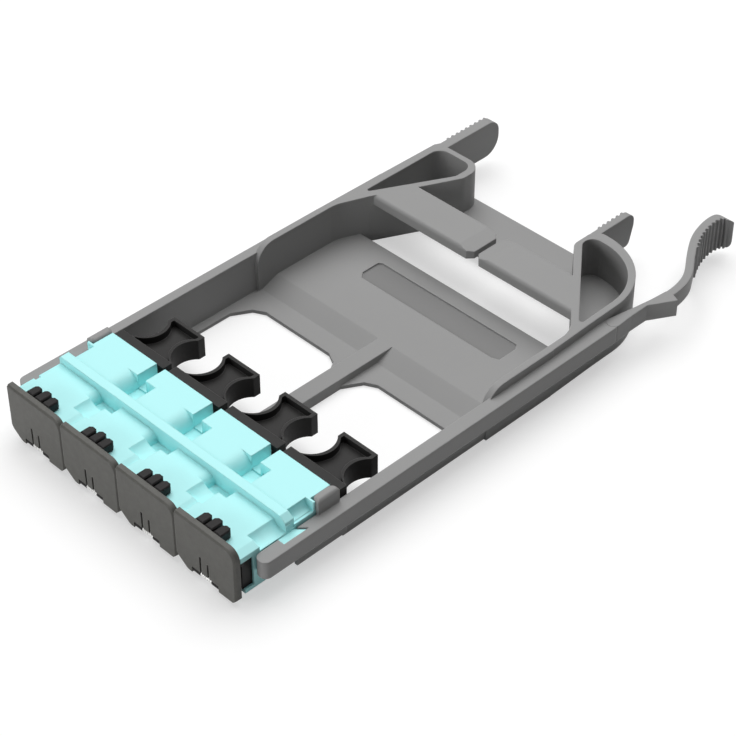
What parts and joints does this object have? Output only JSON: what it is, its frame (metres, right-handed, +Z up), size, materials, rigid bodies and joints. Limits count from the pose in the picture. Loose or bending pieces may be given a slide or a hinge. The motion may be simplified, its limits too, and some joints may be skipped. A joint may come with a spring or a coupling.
{
  "type": "mpo fibre adapter panel",
  "caption": "Slim grey slide-in tray with a row of shuttered multi-fibre ports across its front, dust plugs behind them and a release lever at the rear.",
  "frame": {"origin": "centre of the overall box at the underside of the tray", "axes": "+X across the tray to the lever's side, +Y from the shutters to the rear, +Z up"},
  "size_m": [0.073, 0.144, 0.0133],
  "materials": {
    "grey_plastic": "fine matt moulded surface",
    "aqua_plastic": "satin moulded surface",
    "black_plastic": "satin moulded surface",
    "dust_plug_plastic": "soft matt moulded surface",
    "steel": "bright drawn wire"
  },
  "bodies": {
    "tray": {"frame": "grey_plastic", "adapter_front_shell": "aqua_plastic", "adapter_rear_shell": "aqua_plastic", "shutter_housing_1": "black_plastic", "hinge_pin_1": "steel", "latch_clip_1": "aqua_plastic", "torsion_spring_1": "steel", "shutter_housing_2": "black_plastic", "hinge_pin_2": "steel", "latch_clip_2": "aqua_plastic", "torsion_spring_2": "steel", "shutter_housing_3": "black_plastic", "hinge_pin_3": "steel", "latch_clip_3": "aqua_plastic", "torsion_spring_3": "steel", "shutter_housing_4": "black_plastic", "hinge_pin_4": "steel", "latch_clip_4": "aqua_plastic", "torsion_spring_4": "steel"},
    "lever": {"release_lever": "grey_plastic"},
    "shutter_1": {"shutter_door_1": "black_plastic", "finger_tab_1": "black_plastic"},
    "plug_1": {"dust_plug_1": "dust_plug_plastic"},
    "shutter_2": {"shutter_door_2": "black_plastic", "finger_tab_2": "black_plastic"},
    "plug_2": {"dust_plug_2": "dust_plug_plastic"},
    "shutter_3": {"shutter_door_3": "black_plastic", "finger_tab_3": "black_plastic"},
    "plug_3": {"dust_plug_3": "dust_plug_plastic"},
    "shutter_4": {"shutter_door_4": "black_plastic", "finger_tab_4": "black_plastic"},
    "plug_4": {"dust_plug_4": "dust_plug_plastic"}
  },
  "joints": [
    {"name": "lever_flex", "type": "hinge", "parent": "tray", "child": "lever", "pos_m": [0.03198, 0.02662, 0.00785], "axis": [0, 0, 1], "range_deg": [0, 10], "stiffness_Nm_per_rad": 0.2},
    {"name": "shutter_1_swing", "type": "hinge", "parent": "tray", "child": "shutter_1", "pos_m": [-0.02542, -0.07123, 0.0015], "axis": [1, 0, 0], "range_deg": [0, 90], "stiffness_Nm_per_rad": 0.002, "springref_deg": -20.05, "deforming": ["torsion_spring_1"]},
    {"name": "plug_1_pull", "type": "slide", "parent": "tray", "child": "plug_1", "axis": [0, 1, 0], "range_m": [0, 0.02]},
    {"name": "shutter_2_swing", "type": "hinge", "parent": "tray", "child": "shutter_2", "pos_m": [-0.00942, -0.07123, 0.0015], "axis": [1, 0, 0], "range_deg": [0, 90], "stiffness_Nm_per_rad": 0.002, "springref_deg": -20.05, "deforming": ["torsion_spring_2"]},
    {"name": "plug_2_pull", "type": "slide", "parent": "tray", "child": "plug_2", "axis": [0, 1, 0], "range_m": [0, 0.02]},
    {"name": "shutter_3_swing", "type": "hinge", "parent": "tray", "child": "shutter_3", "pos_m": [0.00658, -0.07123, 0.0015], "axis": [1, 0, 0], "range_deg": [0, 90], "stiffness_Nm_per_rad": 0.002, "springref_deg": -20.05, "deforming": ["torsion_spring_3"]},
    {"name": "plug_3_pull", "type": "slide", "parent": "tray", "child": "plug_3", "axis": [0, 1, 0], "range_m": [0, 0.02]},
    {"name": "shutter_4_swing", "type": "hinge", "parent": "tray", "child": "shutter_4", "pos_m": [0.02258, -0.07123, 0.0015], "axis": [1, 0, 0], "range_deg": [0, 90], "stiffness_Nm_per_rad": 0.002, "springref_deg": -20.05, "deforming": ["torsion_spring_4"]},
    {"name": "plug_4_pull", "type": "slide", "parent": "tray", "child": "plug_4", "axis": [0, 1, 0], "range_m": [0, 0.02]}
  ]
}
